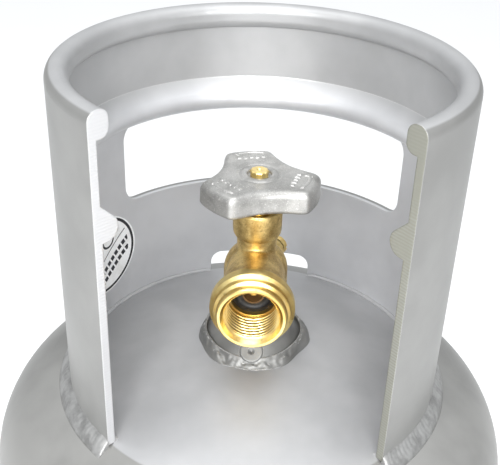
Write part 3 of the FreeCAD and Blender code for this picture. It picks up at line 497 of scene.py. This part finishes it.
# Painted shade: the brass check insert deep in the outlet's bore gets a dark brown, non-metal colour
# standing in for the shade that it sits in.
SHADED_INSERT = moulded_plastic("insert_painted_shade", (0.10, 0.05, 0.018), (0.17, 0.09, 0.035))
TURNED = turned_brass("turned_brass")
TURNED_FRONT = turned_brass("turned_brass_outlet", across=(0.1, 1.0, 0.1), threaded=True)
ALLOY = die_cast()
RUBBER = rubber()
STEEL = drawn_steel()
FLOAT = moulded_plastic("float_plastic", (0.03, 0.03, 0.03), (0.06, 0.06, 0.06))
CAP = moulded_plastic("cap_plastic", (0.02, 0.02, 0.02), (0.04, 0.04, 0.04))
LABEL = printed_label()

CAD_MATERIALS = {
    "upper_shell": SHELL, "lower_shell": SHELL, "backing_ring": SHELL,
    "girth_weld": WELD, "foot_weld": WELD,
    "collar": COLLAR, "foot_ring": COLLAR, "collar_label": LABEL,
    "valve_boss": BOSS, "boss_plug": BOSS,
    "outlet_seal": RUBBER, "check_insert": SHADED_INSERT, "outlet_poppet": TURNED, "outlet_spring": STEEL,
    "relief_seat_disc": RUBBER, "relief_poppet": TURNED, "relief_spring": STEEL,
    "relief_adjuster": TURNED, "relief_cap": CAP,
    "bleeder_washer": RUBBER, "bleeder_screw": TURNED, "dip_tube": STEEL,
    "bonnet_insert": TURNED, "bonnet_gasket": RUBBER, "stem_o_ring": RUBBER,
    "valve_stem": TURNED, "seat_carrier": TURNED, "seat_disc": RUBBER,
    "opd_housing": FLOAT, "float_pin": STEEL, "opd_poppet": FLOAT, "float_arm": STEEL, "float": FLOAT,
}


def dress_cad_nodes():
    """Give the CAD nodes that stay visible their materials."""
    for name, material in CAD_MATERIALS.items():
        node = nodes[name]
        node.data.materials.clear()
        node.data.materials.append(material)


# ---------------------------------------------------------------- weld beads

def bead(name, section, start, end, ripple, pitch=2.3):
    """Fillet bead round the axis. section gives (radius, height) points from toe to toe, in metres."""
    length = RING_R * (end - start)
    steps = int(length / (0.42 * MM))
    count = len(section)
    rows = []
    for i in range(steps + 1):
        share = i / steps
        angle = start + (end - start) * share
        run = min(share, 1.0 - share) * length
        fade = min(1.0, math.sqrt(max(run / (4.0 * MM), 0.0)))
        row = []
        for k, (radius, height, out_r, out_z) in enumerate(section):
            t = k / (count - 1)
            crest = math.sin(math.pi * t)
            lag = 1.1 * crest
            phase = angle * RING_R / (pitch * MM) + lag
            phase += 0.35 * noise.noise(Vector((angle * 30.0, 0.0, 3.0)))
            wave = abs(math.sin(math.pi * phase)) ** 0.7
            swell = 0.25 * noise.noise(Vector((math.cos(angle) * 18.0, math.sin(angle) * 18.0, t * 2.0)))
            lift = crest * fade * (ripple * (wave - 0.75) + swell) * MM
            shrink = (1.0 - fade) * crest * 1.4 * MM
            r = radius + out_r * (lift - shrink)
            z = height + out_z * (lift - shrink)
            row.append(Vector((r * math.cos(angle), r * math.sin(angle), z)))
        rows.append(row)
    return grid(name, rows)


def fillet_section(wall_r, outward, leg_out, leg_up, steps=12, sunk=0.5 * MM):
    """Section of a slightly crowned fillet between a wall and the dome, with its two sunk toes."""
    toe = (wall_r + outward * leg_out, dome_z(wall_r + outward * leg_out))
    top = (wall_r, dome_z(wall_r) + leg_up)
    out_r = outward * 0.72
    out_z = 0.69
    section = []
    for n in range(steps + 1):
        t = n / steps
        r = toe[0] + (top[0] - toe[0]) * t
        z = toe[1] + (top[1] - toe[1]) * t
        crown = 0.5 * MM * math.sin(math.pi * t)
        section.append((r + out_r * crown, z + out_z * crown, out_r, out_z))
    inner = wall_r - outward * sunk
    section.append((inner, top[1] - sunk, 0.0, 0.0))
    section.append((inner, dome_z(wall_r) - sunk, 0.0, 0.0))
    section.append((toe[0] - outward * sunk, toe[1] - 2 * sunk, 0.0, 0.0))
    return section


def capped(piece):
    """Close the open ends of a piece."""
    made = bmesh.new()
    made.from_mesh(piece.data)
    bmesh.ops.holes_fill(made, edges=[e for e in made.edges if e.is_boundary], sides=0)
    bmesh.ops.recalc_face_normals(made, faces=made.faces)
    made.to_mesh(piece.data)
    made.free()
    return piece


def make_welds():
    front = -math.pi / 2
    rear = math.pi / 2
    spans = [(front + HALF_OPENING, rear - DRAIN_HALF), (rear + DRAIN_HALF, front - HALF_OPENING + TAU)]
    for side, outward, wall, leg_out, leg_up, ripple in (
        ("outer", 1.0, RING_R, 5.0 * MM, 4.4 * MM, 0.22),
        ("inner", -1.0, RING_IN, 1.8 * MM, 1.7 * MM, 0.05),
    ):
        section = fillet_section(wall, outward, leg_out, leg_up)
        strips = [capped(bead(f"{side}_{n}", section, a, b, ripple)) for n, (a, b) in enumerate(spans)]
        whole = smooth(joined(f"collar_bead_{side}", strips), 60.0)
        whole.data.materials.append(WELD if side == "outer" else SHELL)
        put(whole, "cylinder", "weld", f"collar_weld_{side}")
    make_boss_bead()


def make_boss_bead():
    """Lumpy bead round the valve boss, plump at the sides and slanting at the front, where the plug sits."""
    boss_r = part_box("valve_boss")[1].x
    rows = []
    columns = 360
    rings = 8
    for n in range(rings + 1):
        t = n / rings
        row = []
        for j in range(columns):
            angle = TAU * j / columns
            lumps = noise.noise(Vector((math.cos(angle) * 1.7, math.sin(angle) * 1.7, 5.0)))
            foot = boss_r + (2.8 + 2.2 * lumps + 0.6 * math.cos(angle * 6.0)) * MM
            r = boss_r - 0.6 * MM + (foot - boss_r + 0.6 * MM) * t
            front = math.cos(angle + math.pi / 2)
            plump = 1.0 - step(front, 0.72, 0.5)
            rise = ((1.0 - t) ** 1.25 * (1.0 - plump) + math.sqrt(1.0 - t * t) * plump) * 5.4 * MM
            facet = max(0.0, front - 0.55) * 4.0 * (1.0 - t) * MM
            spot = Vector((math.cos(angle) * 5.0, math.sin(angle) * 5.0, t * 2.2))
            fine = (1.3 * noise.noise(spot) + 0.8 * noise.noise(spot * 2.3)) * math.sin(math.pi * t) * MM
            row.append(Vector((r * math.cos(angle), r * math.sin(angle), dome_z(r) + rise - facet + fine)))
        rows.append(row)
    rows.append([Vector((v.x * 0.985, v.y * 0.985, v.z - 2.0 * MM)) for v in rows[-1]])
    rows.append([Vector((v.x * 0.97, v.y * 0.97, v.z - 4.0 * MM)) for v in rows[0]])
    whole = smooth(grid("boss_bead", rows, wrap_rows=True), 50.0)
    whole.data.materials.append(BOSS)
    put(whole, "cylinder", "weld", "boss_weld")


# ---------------------------------------------------------------- valve body

def make_valve_casting():
    """The cast part of the valve body, melted together from plain turned blanks."""
    centre = (0.0, 0.0, BASE)
    outlet = (0.0, 0.0, OUTLET_Z)
    barrel = turned("barrel", [
        (0.0, 22.0), (13.0, 22.0), (13.0, 33.0), (13.3, 34.5), (13.3, 44.0),
        *arc((1.2, 49.5), 12.1, 0.0, 54.0, 9), (8.2, 60.5), (8.2, 70.0), (0.0, 70.0),
    ], centre=centre, segments=64, closed=False)
    hexagon = turned("hexagon", [(0.0, 23.4), (14.4, 23.4), (15.2, 24.4), (15.2, 31.6), (14.2, 32.8),
                                 (0.0, 32.8)], centre=centre, segments=6, closed=False)
    horn = turned("horn", [
        (0.0, 0.0), (11.9, 0.0), (12.6, 14.0), (13.0, 20.0), (13.9, 24.5), (14.9, 27.0),
        (11.2, 27.0), (11.2, 14.5), (0.0, 14.5),
    ], turn=FRONT, centre=outlet, segments=64, closed=False)
    relief_low, relief_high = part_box("relief_cap")
    relief_z = (relief_low.z + relief_high.z) / 2
    relief = turned("relief", [(0.0, 0.0), (9.6, 0.0), (9.6, 25.6), (8.6, 26.6), (0.0, 26.6)],
                    turn=REAR, centre=(0.0, 0.0, relief_z), segments=48, closed=False)
    screw_low, screw_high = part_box("bleeder_screw")
    screw = (screw_low + screw_high) / 2
    spin = Matrix.Rotation(BLEEDER_AZIMUTH, 3, "Z")
    bleeder = turned("bleeder", [(0.0, 0.0), (5.1, 0.0), (5.0, 14.5), (4.5, 15.0), (0.0, 15.0)],
                     turn=spin @ RIGHT, centre=(0.0, 0.0, screw.z), segments=40, closed=False)
    casting = joined("valve_casting", [barrel, hexagon, horn, relief, bleeder])
    melt = casting.modifiers.new("melt", "REMESH")
    melt.mode = "VOXEL"
    melt.voxel_size = 0.42 * MM
    ease = casting.modifiers.new("ease", "SMOOTH")
    ease.factor = 0.5
    ease.iterations = 7
    applied(casting)
    roughened(casting,
              lambda p: 0.045 * noise.fractal(p * 900.0, 1.0, 2.0, 2) + 0.10 * noise.noise(p * 160.0))
    smooth(casting, 180.0)
    casting.data.materials.clear()
    casting.data.materials.append(CAST)
    return put(casting, "cylinder", "cast_brass", "valve_body")


BORE_R = 10.25
THREAD_START = 22.0
THREAD_END = 35.6
THREAD_PITCH = 1.814
THREAD_DEPTH = 0.85
FLANK_SLOPE = 2.4
ROW_STEP = 0.1


def outlet_warp(angle, radius, along):
    """Cut the fine left-hand thread in the outlet's bore, with flat crests and roots."""
    if abs(radius - BORE_R) < 1e-6:
        turns = along / THREAD_PITCH + angle / TAU
        slope = abs((turns % 1.0) * 2.0 - 1.0) - 0.5
        tooth = min(max(slope * FLANK_SLOPE + 0.5, 0.0), 1.0)
        fade = min(1.0, (along - THREAD_START) / 1.2, (THREAD_END - along) / 0.8)
        return radius + THREAD_DEPTH * tooth * max(fade, 0.0), along
    return radius, along


def make_outlet():
    """Turned front of the valve body: lip, coupling ring and threaded bore."""
    bore_rows = int((THREAD_END - THREAD_START) / ROW_STEP)
    bore = [(BORE_R, THREAD_END - ROW_STEP * n) for n in range(bore_rows + 1)]
    profile = [
        (11.4, 24.0), (14.6, 26.2), (15.5, 27.2), (16.25, 27.4), (16.65, 27.8),
        (16.65, 31.3), (16.5, 31.7), (15.3, 32.6), (15.1, 33.0), (15.1, 34.4), (14.9, 34.7),
        (13.9, 35.3), (13.7, 35.6), (13.7, 37.3), (13.5, 37.7), (13.1, 38.0), (12.5, 38.0),
        (12.1, 37.9), (11.2, 36.4), (10.9, 36.0),
        *bore,
        (BORE_R, THREAD_START - 0.1), (9.45, 21.8), (9.45, 17.0), (5.0, 16.9), (5.0, 16.2), (11.0, 16.2),
    ]
    outlet = turned("valve_outlet", profile, turn=FRONT, centre=(0.0, 0.0, OUTLET_Z), segments=160,
                    warp=outlet_warp)
    smooth(outlet, 24.0)
    outlet.data.materials.append(TURNED_FRONT)
    put(outlet, "cylinder", "turned_brass")


def make_cup():
    """Stem cup: cast outside, machined rim and recess."""
    cup = turned("valve_cup", [
        (7.6, 65.6), (8.5, 65.9), (9.25, 66.5), (9.75, 67.5), (9.95, 69.0), (10.0, 70.5), (10.0, 77.3),
        (9.85, 77.9), (9.4, 78.3),
        (8.5, 78.3), (8.05, 78.0), (7.9, 77.5), (7.9, 70.2), (6.0, 70.0), (6.0, 66.0),
    ], centre=(0.0, 0.0, BASE), segments=96)
    roughened(cup, lambda p: 0.06 * noise.noise(p * 300.0),
              lambda p: p.z < BASE + 77.0 * MM and p.xy.length > 8.2 * MM)
    smooth(cup, 35.0)
    cup.data.materials.append(CAST)
    put(cup, "cylinder", "cast_brass")
    rim = turned("cup_rim", [
        (9.75, 77.8), (9.45, 78.32), (8.5, 78.34), (8.0, 78.0), (7.86, 77.5), (7.86, 74.0), (7.95, 73.9),
        (8.3, 77.2), (9.3, 77.8),
    ], centre=(0.0, 0.0, BASE), segments=96)
    smooth(rim, 30.0)
    rim.data.materials.append(TURNED)
    put(rim, "cylinder", "turned_brass")


# ---------------------------------------------------------------- handwheel

LOBE_AZIMUTH = math.radians(-15.0)
TIP_R = 25.0
TIP_HALF = math.radians(24.0)
TIP_CURVE = 34.0
SIDE_CURVE = 36.0
CORNER = 1.5


def wheel_radius(azimuth):
    """Outline of the three-lobed wheel in millimetres: bowed tips, hollow sides, soft corners."""
    turn = (azimuth - LOBE_AZIMUTH + math.pi / 3) % (TAU / 3) - math.pi / 3
    turn = abs(turn)
    tip_centre = TIP_R * math.cos(TIP_HALF) - math.sqrt(TIP_CURVE ** 2 - (TIP_R * math.sin(TIP_HALF)) ** 2)
    tip = tip_centre * math.cos(turn) + math.sqrt(TIP_CURVE ** 2 - (tip_centre * math.sin(turn)) ** 2)
    reach = TIP_R * math.cos(math.pi / 3 - TIP_HALF)
    half = TIP_R * math.sin(math.pi / 3 - TIP_HALF)
    side_centre = reach + math.sqrt(SIDE_CURVE ** 2 - half ** 2)
    away = math.pi / 3 - turn
    inner = SIDE_CURVE ** 2 - (side_centre * math.sin(away)) ** 2
    if inner <= 0.0:
        return tip
    side = side_centre * math.cos(away) - math.sqrt(inner)
    least = min(tip, side)
    return least - CORNER * math.log(math.exp(-(tip - least) / CORNER) + math.exp(-(side - least) / CORNER))


def wheel_marks(radius, azimuth):
    """Height, from 0 to 1, of the raised marks: a bent arrow and a row of short bars on each lobe."""
    turn = azimuth - LOBE_AZIMUTH
    lobe = int(((turn + math.pi / 3) % TAU) / (TAU / 3))
    local = (turn + math.pi / 3) % (TAU / 3) - math.pi / 3
    x = radius * math.cos(local)
    y = radius * math.sin(local)
    way = -1.0 if lobe == 2 else 1.0
    bend = abs(math.hypot(x - 6.0, y) - 14.2)
    stroke = step(0.5 - bend, 0.0) * step(6.0 - abs(y), 0.0)
    head = step(1.7 - abs(x - 19.0) - max(way * y - 4.6, 0.0), 0.0) * step(way * y - 4.6, 0.0)
    arrow = max(stroke, head * step(6.9 - way * y, 0.0))
    column = y / 2.5 + 0.5
    inside = abs(column % 1.0 - 0.5)
    tall = 1.05 if int(column + 20.0) % 2 else 0.75
    bars = step(0.30 - inside, 0.0, 0.08) * step(tall - abs(x - 15.0), 0.0) * step(6.0 - abs(y), 0.0)
    return max(arrow, bars)


def make_handwheel():
    """Three-lobed wheel: rows of points from the stem hole, out under the wheel and back over its top."""
    high = (WHEEL_HIGH - WHEEL_LOW) / MM
    columns = 420
    azimuths = [TAU * j / columns for j in range(columns)]
    outline = [wheel_radius(a) for a in azimuths]
    rows = []

    def row(height_of, radius_of):
        points = []
        for a, edge in zip(azimuths, outline):
            r = radius_of(edge)
            points.append(Vector((r * math.cos(a), r * math.sin(a), height_of(r, a))) * MM
                          + Vector((0.0, 0.0, WHEEL_LOW)))
        rows.append(points)

    def flat(z):
        return lambda r, a: z

    def inset(amount):
        return lambda edge: edge - amount

    def fixed(radius):
        return lambda edge: radius

    stem = 3.55
    skirt = 11.5
    for radius, z in ((stem, 8.8), (stem, 0.2), (3.8, 0.0), (6.4, 0.0), (6.8, 0.3), (7.0, 3.4), (7.4, 3.6),
                      (10.4, 3.6), (10.8, 3.3), (11.2, 0.3), (skirt, 0.0)):
        row(flat(z), fixed(radius))
    row(flat(0.0), lambda edge: skirt + (edge - 2.2 - skirt) * 0.5)
    for r, z in arc((-1.9, 1.9), 1.9, -90.0, 0.0, 8):
        row(flat(z), inset(-r))
    for z in (2.7, 3.6, 4.6):
        row(flat(z), inset(0.03 * z))
    bevel = 3.2
    crown = 0.30
    shoulder = high - crown - 0.25
    for r, z in arc((-bevel - 0.2, shoulder - bevel), bevel, 0.0, 84.0, 14):
        row(flat(z), inset(-r))

    def top(r, a):
        rise = crown * (1.0 - (r / 25.0) ** 2)
        return shoulder + rise + 0.45 * wheel_marks(r, a) - 0.02

    rings = 110
    rim_gap = 3.5
    hub = 9.3
    for n in range(rings + 1):
        share = n / rings
        row(top, lambda edge, s=share: edge - rim_gap + (hub - edge + rim_gap) * s)
    for radius, z in ((9.0, shoulder + 0.2), (8.6, shoulder - 0.1), (8.2, shoulder - 0.2),
                      (7.8, shoulder - 0.1), (7.4, shoulder + 0.2), (6.8, high - 0.1), (6.1, high),
                      (5.3, high), (5.0, high - 0.15), (4.6, high - 1.1), (4.1, high - 1.2)):
        row(flat(z), fixed(radius))
    wheel = grid("handwheel_casting", rows, wrap_rows=True)
    roughened(wheel, lambda p: 0.05 * noise.noise(p * 420.0))
    smooth(wheel, 48.0)
    wheel.data.materials.append(ALLOY)
    return put(wheel, "handwheel", "die_cast", "handwheel")


def make_stem_end():
    """Splined end of the stem, peened over the wheel."""

    def splines(angle, radius, along):
        if radius < 2.0:
            return radius, along
        groove = max(math.cos(angle * 10.0), -0.3)
        return radius + 0.22 * groove * min(1.0, (radius - 1.9) / 1.2), along

    top = (STEM_TOP - WHEEL_HIGH) / MM
    end = turned("stem_end", [
        (0.0, -1.0), (3.3, -1.0), (3.4, 0.0), (3.55, top * 0.35), (3.6, top * 0.62), (3.3, top * 0.86),
        (2.7, top * 0.98), (2.0, top), (1.2, top - 0.15), (0.7, top - 0.6), (0.0, top - 0.75),
    ], centre=(0.0, 0.0, WHEEL_HIGH), segments=120, closed=False, warp=splines)
    smooth(end, 50.0)
    end.data.materials.append(TURNED)
    put(end, "handwheel", "turned_brass")


# ---------------------------------------------------------------- studio and camera

def soft_light(name, place, target, size, power):
    lamp = bpy.data.lights.new(name, "AREA")
    lamp.shape = "RECTANGLE"
    lamp.size, lamp.size_y = size
    lamp.energy = power
    light = new_object(name, lamp)
    light.location = place
    light.rotation_euler = (Vector(target) - Vector(place)).to_track_quat("-Z", "Y").to_euler()
    return light


HORIZON_LIGHT = 0.36
ZENITH_LIGHT = 1.15


def make_studio():
    """White floor, a sky that is dim at the horizon, and three soft lamps before and above the cylinder."""
    half = 6.0
    mesh = bpy.data.meshes.new("floor")
    corners = [(-half, -half, 0), (half, -half, 0), (half, half, 0), (-half, half, 0)]
    mesh.from_pydata(corners, [], [(0, 1, 2, 3)])
    floor = new_object("floor", mesh)
    n = Nodes("pale_floor")
    tone = n.noise(3.0, 2.0)
    white = n.mix(tone, rgba(0.93, 0.93, 0.93), rgba(0.96, 0.96, 0.96))
    mesh.materials.append(n.finish(white, 0.8, None, 0.0))

    bpy.context.scene.view_settings.view_transform = "Standard"
    world = bpy.data.worlds.new("studio")
    bpy.context.scene.world = world
    world.use_nodes = True
    tree = world.node_tree
    place = tree.nodes.new("ShaderNodeTexCoord")
    split = tree.nodes.new("ShaderNodeSeparateXYZ")
    rise = tree.nodes.new("ShaderNodeMapRange")
    for socket, number in zip(rise.inputs[1:5], (-0.1, 0.9, HORIZON_LIGHT, ZENITH_LIGHT)):
        socket.default_value = number
    tree.links.new(place.outputs["Generated"], split.inputs[0])
    tree.links.new(split.outputs["Z"], rise.inputs[0])
    tree.links.new(rise.outputs[0], tree.nodes["Background"].inputs["Strength"])
    tree.nodes["Background"].inputs["Color"].default_value = (0.96, 0.98, 1.0, 1.0)

    valve = (0.0, 0.0, 0.40)
    soft_light("key", (-0.30, -1.4, 1.05), valve, (0.6, 0.5), 17.0)
    soft_light("fill", (0.35, -1.4, 0.95), valve, (0.6, 0.5), 13.0)
    soft_light("top", (0.0, -0.25, 1.6), valve, (1.0, 0.8), 7.0)


CAMERA_PLACE = Vector((7.65, -310.4, 245.3)) * MM
CAMERA_YAW = -0.034
CAMERA_PITCH = 0.523
CAMERA_ROLL = 0.035
CAMERA_LENS = 63.15


def make_camera():
    """Camera that looks down into the collar's opening."""
    ahead = Vector((math.sin(CAMERA_YAW) * math.cos(CAMERA_PITCH),
                    math.cos(CAMERA_YAW) * math.cos(CAMERA_PITCH), -math.sin(CAMERA_PITCH)))
    level = Vector((math.cos(CAMERA_YAW), -math.sin(CAMERA_YAW), 0.0))
    upright = level.cross(ahead)
    side = level * math.cos(CAMERA_ROLL) + upright * math.sin(CAMERA_ROLL)
    up = upright * math.cos(CAMERA_ROLL) - level * math.sin(CAMERA_ROLL)
    lens = bpy.data.cameras.new("camera")
    lens.lens = CAMERA_LENS
    lens.sensor_width = 36.0
    lens.sensor_fit = "HORIZONTAL"
    lens.clip_start = 0.01
    camera = new_object("camera", lens)
    turn = Matrix((side, up, -ahead)).transposed().to_4x4()
    camera.matrix_world = Matrix.Translation(CAMERA_PLACE + Vector((0.0, 0.0, BASE))) @ turn
    bpy.context.scene.camera = camera


make_camera()
make_studio()
dress_cad_nodes()
make_welds()
make_valve_casting()
make_outlet()
make_cup()
make_handwheel()
make_stem_end()

bpy.context.view_layer.update()
